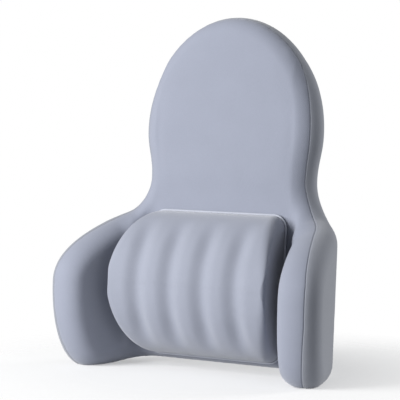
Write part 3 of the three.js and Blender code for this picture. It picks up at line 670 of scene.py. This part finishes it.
def zip_teeth():
    """Low rounded teeth from both tapes, one after the other along a thin cord."""
    form = bmesh.new()
    for i in range(int(2 * chain_half_length / tooth_pitch)):
        x = -chain_half_length + tooth_pitch * (i + 0.5)
        side = 1 if i % 2 else -1
        middle = Vector((x, chain_back - 0.0009, zip_level + side * 0.0007))
        size = Matrix.Diagonal((tooth_pitch * 0.46, 0.0009, 0.0020, 1))
        place = Matrix.Translation(middle) @ size
        bmesh.ops.create_uvsphere(form, u_segments=8, v_segments=5, radius=1, matrix=place)
    core = bmesh.ops.create_cube(form, size=1)["verts"]
    bmesh.ops.scale(form, verts=core, vec=(2 * chain_half_length, 0.0008, 0.0048))
    bmesh.ops.translate(form, verts=core, vec=(0, 0.0273, zip_level))
    form.transform(upright)
    return keep("zip_teeth", form)


def moulded(name, colour, dark, roughness, metallic=0.0):
    """Plastic or metal with a fine grain and faint rubbing."""
    material, start = new_shader(name)
    place = start.node("ShaderNodeTexCoord", {}, {}, "Object")
    fine = start.node("ShaderNodeTexNoise", {}, {"Vector": place, "Scale": 1200.0, "Detail": 3.0})
    rubs = start.node("ShaderNodeTexNoise", {}, {"Vector": place, "Scale": 120.0, "Detail": 4.0})
    tone = (fine * 0.3 + rubs * 0.7).ramp(0.3, 0.7).blend(dark, colour)
    rough = rubs * 0.25 + (roughness - 0.12)
    dress(start, tone, rough, fine, 0.00008, 0.5, Metallic=metallic)
    return material


tooth_finish = moulded("zip_nylon", (0.17, 0.18, 0.215, 1), (0.13, 0.138, 0.165, 1), 0.42)
metal_finish = moulded("zip_metal", (0.42, 0.43, 0.46, 1), (0.30, 0.31, 0.33, 1), 0.34, 1.0)
teeth = zip_teeth()
teeth.data.materials.append(tooth_finish)
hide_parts("zip_chain")
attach(teeth, "backrest")


def eased(name, source, edge):
    """A copy of a fixed piece with its sharp edges rounded, as its mould leaves them."""
    form = bmesh.new()
    form.from_mesh(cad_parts[source].data)
    bmesh.ops.remove_doubles(form, verts=form.verts, dist=1e-6)
    flat, corner = math.radians(2), math.radians(40)
    bmesh.ops.dissolve_limit(form, angle_limit=flat, verts=form.verts, edges=form.edges)
    closed = [e for e in form.edges if len(e.link_faces) == 2]
    sharp = [e for e in closed if e.calc_face_angle(0) > corner]
    bevel = {"affect": "EDGES", "profile": 0.5, "material": -1, "clamp_overlap": True}
    bmesh.ops.bevel(form, geom=sharp, offset=edge, segments=2, **bevel)
    bmesh.ops.triangulate(form, faces=form.faces)
    made = keep(name, form)
    made.data.set_sharp_from_angle(angle=math.radians(35))
    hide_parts(source)
    return made


slider = eased("zip_runner", "zip_slider", 0.0003)
pull = eased("zip_puller", "zip_pull", 0.0003)
for piece, body in ((slider, "slider"), (pull, "pull")):
    piece.data.materials.append(metal_finish)
    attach(piece, body)
for word in ("left", "right"):
    stop = eased(f"zip_end_stop_{word}", f"zip_stop_{word}", 0.0005)
    stop.data.materials.append(tooth_finish)
    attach(stop, "backrest")

# ---------- the chair strap ----------
# A webbing strap goes round the chair's back. Each half is sewn to a patch of cover cloth, and
# turns round the end bar of its half of a side-release buckle. The right half can be shortened.
strap_level, strap_half_width, strap_wall = 0.300, 0.0125, 0.0016
strap_middle, turn_radius = 0.0320, 0.0031


def webbing(name, side, bar, tail):
    """Flat webbing from its sewn end to the bar, round it and back over itself to its tail."""
    sewn, step = side * 0.105, 0.0025
    path = []
    run = int(abs(sewn - bar) / step)
    for i in range(run + 1):
        path.append((sewn + (bar - sewn) * i / run, strap_middle - turn_radius))
    for i in range(1, 10):
        angle = math.radians(-90 + 18 * i)
        x = bar - side * turn_radius * math.cos(angle)
        path.append((x, strap_middle + turn_radius * math.sin(angle)))
    back = int(tail / step)
    for i in range(back + 1):
        path.append((bar + side * tail * i / back, strap_middle + turn_radius))
    form = bmesh.new()
    bmesh.ops.create_grid(form, x_segments=len(path) - 1, y_segments=4, size=1)
    form.verts.ensure_lookup_table()
    for i, vertex in enumerate(form.verts):
        x, y = path[i % len(path)]
        z = strap_level + (i // len(path) - 2) / 2 * strap_half_width
        vertex.co = (x, y, z)
    form.transform(upright)
    made = keep(name, form)
    wall = made.modifiers.new("wall", "SOLIDIFY")
    wall.thickness = strap_wall
    wall.offset = 0
    soft = made.modifiers.new("soft", "BEVEL")
    soft.width = 0.0004
    soft.segments = 2
    bpy.context.view_layer.update()
    graph = bpy.context.evaluated_depsgraph_get()
    made.data = bpy.data.meshes.new_from_object(made.evaluated_get(graph))
    made.modifiers.clear()
    wound = bmesh.new()
    wound.from_mesh(made.data)
    bmesh.ops.recalc_face_normals(wound, faces=wound.faces)
    wound.to_mesh(made.data)
    wound.free()
    return made


light, dark = (0.145, 0.155, 0.19, 1), (0.075, 0.08, 0.10, 1)
strap_weave = weave("strap_weave", light, dark, 0.0017, 0.0012, 0.0005, 0.25, 0.0012)
left_strap = webbing("chair_strap_left", -1, -0.0423, 0.018)
right_strap = webbing("chair_strap_right", 1, 0.0106, 0.062)
for strap, node in ((left_strap, "strap_left"), (right_strap, "strap_right")):
    strap.data.materials.append(strap_weave)
    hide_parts(node)
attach(left_strap, "backrest")
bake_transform(right_strap)

# The patches that spread the strap's pull over the cover, sewn on with a boxed cross of thread.
patch_x, patch_half_width, patch_half_height = 0.096, 0.012, 0.0185
light, dark = (0.235, 0.247, 0.29, 1), (0.175, 0.186, 0.22, 1)
patch_cloth = weave("anchor_twill", light, dark, 0.0013, 0.0013, 0.0002, 0.3)
for side, word in ((-1, "left"), (1, "right")):
    low = (side * patch_x - patch_half_width, 0.0268, strap_level - patch_half_height)
    high = (side * patch_x + patch_half_width, 0.0278, strap_level + patch_half_height)
    anchor = patch(f"strap_patch_{word}", low, high, 0.003)
    anchor.data.materials.append(patch_cloth)
    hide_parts(f"strap_anchor_{word}")
    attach(anchor, "backrest")
    near, far = side * 0.0875, side * 0.1030
    top, foot = strap_level + 0.0100, strap_level - 0.0100
    box = [((near, foot), (far, foot)), ((far, foot), (far, top)), ((far, top), (near, top))]
    box += [((near, top), (near, foot)), ((near, foot), (far, top)), ((near, top), (far, foot))]
    cross = stitches(f"strap_bartack_{word}", box, 0.0298)
    cross.data.materials.append(thread_finish)
    hem_x = (side * patch_x - 0.0105, side * patch_x + 0.0105)
    hem_z = (strap_level - 0.0168, strap_level + 0.0168)
    hem = [((hem_x[0], z), (hem_x[1], z)) for z in hem_z]
    edging = stitches(f"patch_stitching_{word}", hem, 0.0279)
    edging.data.materials.append(thread_finish)
    for sewing in (cross, edging):
        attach(sewing, "backrest")

# The buckle's socket and plug and the slide that shortens the strap are moulded in acetal.
buckle_finish = moulded("buckle_acetal", (0.115, 0.123, 0.148, 1), (0.09, 0.097, 0.118, 1), 0.45)
for source, name, body in (
    ("buckle_socket", "socket_moulding", "backrest"),
    ("buckle_plug", "plug_moulding", "plug"),
    ("strap_adjuster", "strap_slide", "adjuster"),
):
    moulding = eased(name, source, 0.0004)
    moulding.data.materials.append(buckle_finish)
    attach(moulding, body)

# ---------- the last update ---------------------------
# The view layer is updated once more, so every piece is current.
bpy.context.view_layer.update()
